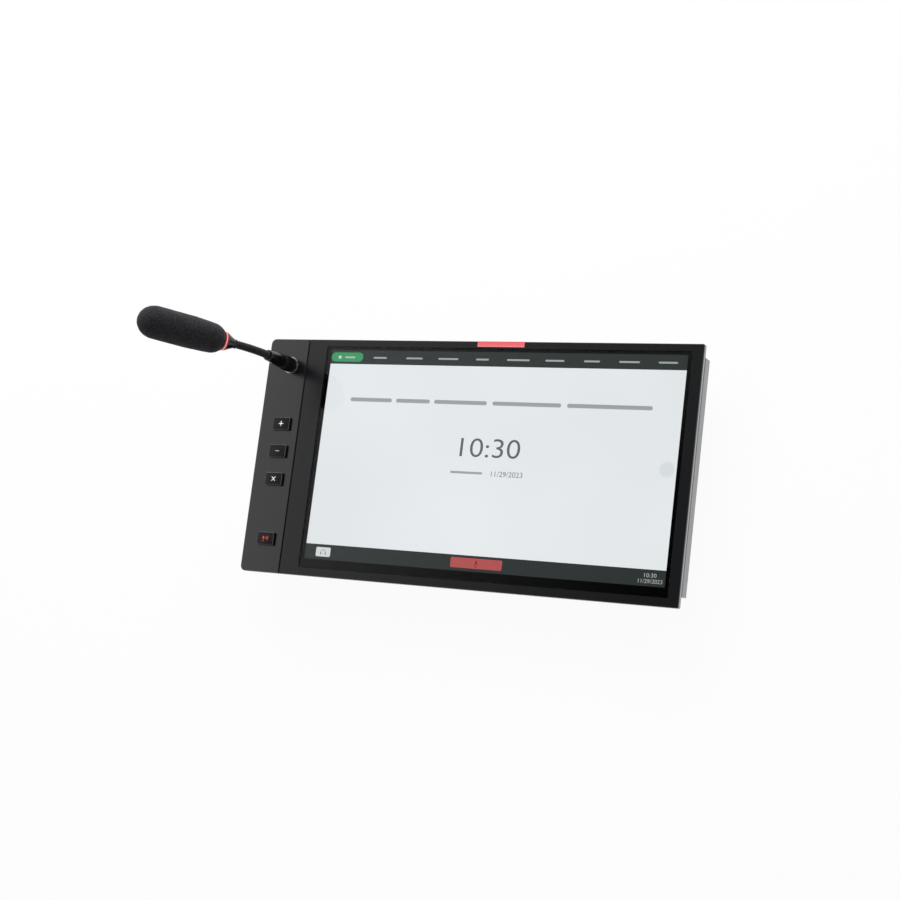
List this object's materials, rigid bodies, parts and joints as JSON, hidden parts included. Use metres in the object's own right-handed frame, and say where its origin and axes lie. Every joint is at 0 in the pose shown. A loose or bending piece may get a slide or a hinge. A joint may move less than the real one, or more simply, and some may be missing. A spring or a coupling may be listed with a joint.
{
  "type": "multimedia conference unit",
  "caption": "Desk-inset conference unit: wide touch display in a slim bezel, a strip of push keys beside it and a plug-in gooseneck microphone with a lit ring and foam windscreen.",
  "frame": {"origin": "middle of the panel's outline on the desk plane, which is the underside of the front flange", "axes": "+X to the right and +Y to the top edge of the screen, seen from the user; +Z out of the screen"},
  "size_m": [0.4608, 0.2186, 0.2037],
  "materials": {
    "front_plate": "dark anodised front with bare bright edges",
    "housing_metal": "light grey coated sheet",
    "glass": "clear cover glass",
    "display": "lit display behind the glass",
    "red_lens": "clear red lens",
    "key_plastic": "dark grey key tops with printed symbols",
    "dome_rubber": "silicone rubber",
    "board": "green circuit board",
    "gilt": "gold-plated contacts",
    "chrome_trim": "polished plating",
    "insulator": "black insulator",
    "fastener": "zinc-plated steel",
    "black_metal": "satin black coat",
    "tube_metal": "anodised tube",
    "foam": "open-cell black foam",
    "sink_metal": "finned extrusion",
    "jack_metal": "plated socket shell",
    "bush_rubber": "black rubber"
  },
  "bodies": {
    "console": {"mic_module_plate": "front_plate", "mic_module_housing": "housing_metal", "mic_module_lid": "housing_metal", "keypad_board": "board", "key_contacts": "gilt", "plus_dome": "dome_rubber", "minus_dome": "dome_rubber", "cancel_dome": "dome_rubber", "microphone_dome": "dome_rubber", "socket_shell": "chrome_trim", "socket_insert": "insulator", "socket_pins": "gilt", "socket_nut": "fastener", "display_frame": "front_plate", "touch_glass": "glass", "lcd_panel": "display", "light_bar_lens": "red_lens", "light_bar_board": "board", "main_housing": "housing_metal", "chassis_plate": "housing_metal", "rear_cover": "housing_metal", "main_board": "board", "board_standoffs": "gilt", "heat_sink": "sink_metal", "network_jack_in": "jack_metal", "network_jack_out": "jack_metal", "usb_jack": "jack_metal", "video_jack": "jack_metal", "link_bolts": "fastener", "link_nuts": "fastener", "link_grommet": "bush_rubber"},
    "plus_button": {"plus_key": "key_plastic"},
    "minus_button": {"minus_key": "key_plastic"},
    "cancel_button": {"cancel_key": "key_plastic"},
    "microphone_button": {"microphone_key": "key_plastic"},
    "mic_stem": {"plug_shell": "chrome_trim", "plug_insert": "insulator", "stem_sleeve": "black_metal", "neck_base": "black_metal"},
    "lock_ring": {"lock_collar": "black_metal"},
    "neck_lower": {"neck_link_1": "black_metal"},
    "neck_middle": {"neck_link_2": "black_metal"},
    "neck_upper": {"neck_link_3": "black_metal"},
    "mic_head": {"neck_top": "black_metal", "head_cone": "black_metal", "light_ring": "red_lens", "ring_board": "board", "capsule_tube": "tube_metal", "mic_capsule": "tube_metal", "windscreen": "foam"}
  },
  "joints": [
    {"name": "plus_press", "type": "slide", "parent": "console", "child": "plus_button", "axis": [0, 0, -1], "range_m": [0, 0.0012], "stiffness_N_per_m": 700, "springref_m": -0.0005, "deforming": ["plus_dome"]},
    {"name": "minus_press", "type": "slide", "parent": "console", "child": "minus_button", "axis": [0, 0, -1], "range_m": [0, 0.0012], "stiffness_N_per_m": 700, "springref_m": -0.0005, "deforming": ["minus_dome"]},
    {"name": "cancel_press", "type": "slide", "parent": "console", "child": "cancel_button", "axis": [0, 0, -1], "range_m": [0, 0.0012], "stiffness_N_per_m": 700, "springref_m": -0.0005, "deforming": ["cancel_dome"]},
    {"name": "microphone_press", "type": "slide", "parent": "console", "child": "microphone_button", "axis": [0, 0, -1], "range_m": [0, 0.0012], "stiffness_N_per_m": 700, "springref_m": -0.0005, "deforming": ["microphone_dome"]},
    {"name": "mic_pull", "type": "slide", "parent": "console", "child": "mic_stem", "axis": [0, 0, 1], "range_m": [0, 0.024]},
    {"name": "lock_turn", "type": "hinge", "parent": "mic_stem", "child": "lock_ring", "pos_m": [-0.1873, 0.0844, 0.0145], "axis": [0, 0, 1], "continuous": true},
    {"name": "neck_side_low", "type": "hinge", "parent": "mic_stem", "child": "neck_lower", "pos_m": [-0.1873, 0.0844, 0.052], "axis": [-0.0436, -0.999, 0], "range_deg": [-33, 19]},
    {"name": "neck_fore_low", "type": "hinge", "parent": "neck_lower", "child": "neck_middle", "pos_m": [-0.18852, 0.08445, 0.06193], "axis": [0.9823, -0.0429, 0.1822], "range_deg": [-25, 25]},
    {"name": "neck_side_high", "type": "hinge", "parent": "neck_middle", "child": "neck_upper", "pos_m": [-0.19093, 0.08456, 0.07163], "axis": [-0.0436, -0.999, 0], "range_deg": [-33, 19]},
    {"name": "neck_fore_high", "type": "hinge", "parent": "neck_upper", "child": "mic_head", "pos_m": [-0.19451, 0.08471, 0.08096], "axis": [0.9091, -0.0397, 0.4147], "range_deg": [-25, 25]}
  ],
  "couplings": [
    {"joint": "neck_side_high", "follows": "neck_side_low", "ratio": 1},
    {"joint": "neck_fore_high", "follows": "neck_fore_low", "ratio": 1}
  ]
}
